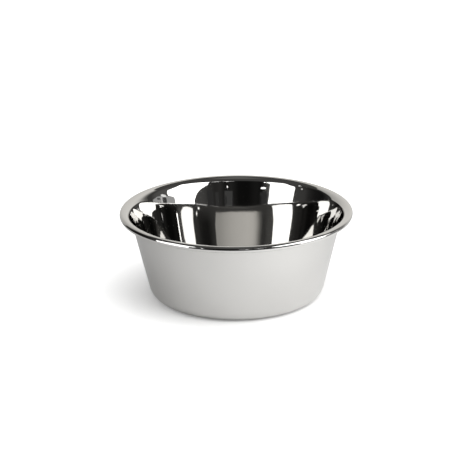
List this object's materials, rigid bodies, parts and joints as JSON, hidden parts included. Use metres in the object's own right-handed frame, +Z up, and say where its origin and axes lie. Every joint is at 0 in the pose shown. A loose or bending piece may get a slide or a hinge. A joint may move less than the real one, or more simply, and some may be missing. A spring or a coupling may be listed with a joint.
{
  "type": "pet food bowl",
  "caption": "Low tapered pet food bowl in mirror-polished stainless steel, with a flared wall, a rounded shoulder and a rolled edge, standing on a flat base.",
  "frame": {"origin": "middle of the flat ring that the bowl stands on, at floor level", "axes": "+Z up along the bowl's axis of symmetry; +X and +Y lie in the standing face and are interchangeable"},
  "size_m": [0.21, 0.21, 0.0793],
  "materials": {
    "polished_steel": "mirror polished inside and on the rim, bright polished outside"
  },
  "bodies": {
    "root": {"bowl": "polished_steel"}
  },
  "joints": []
}
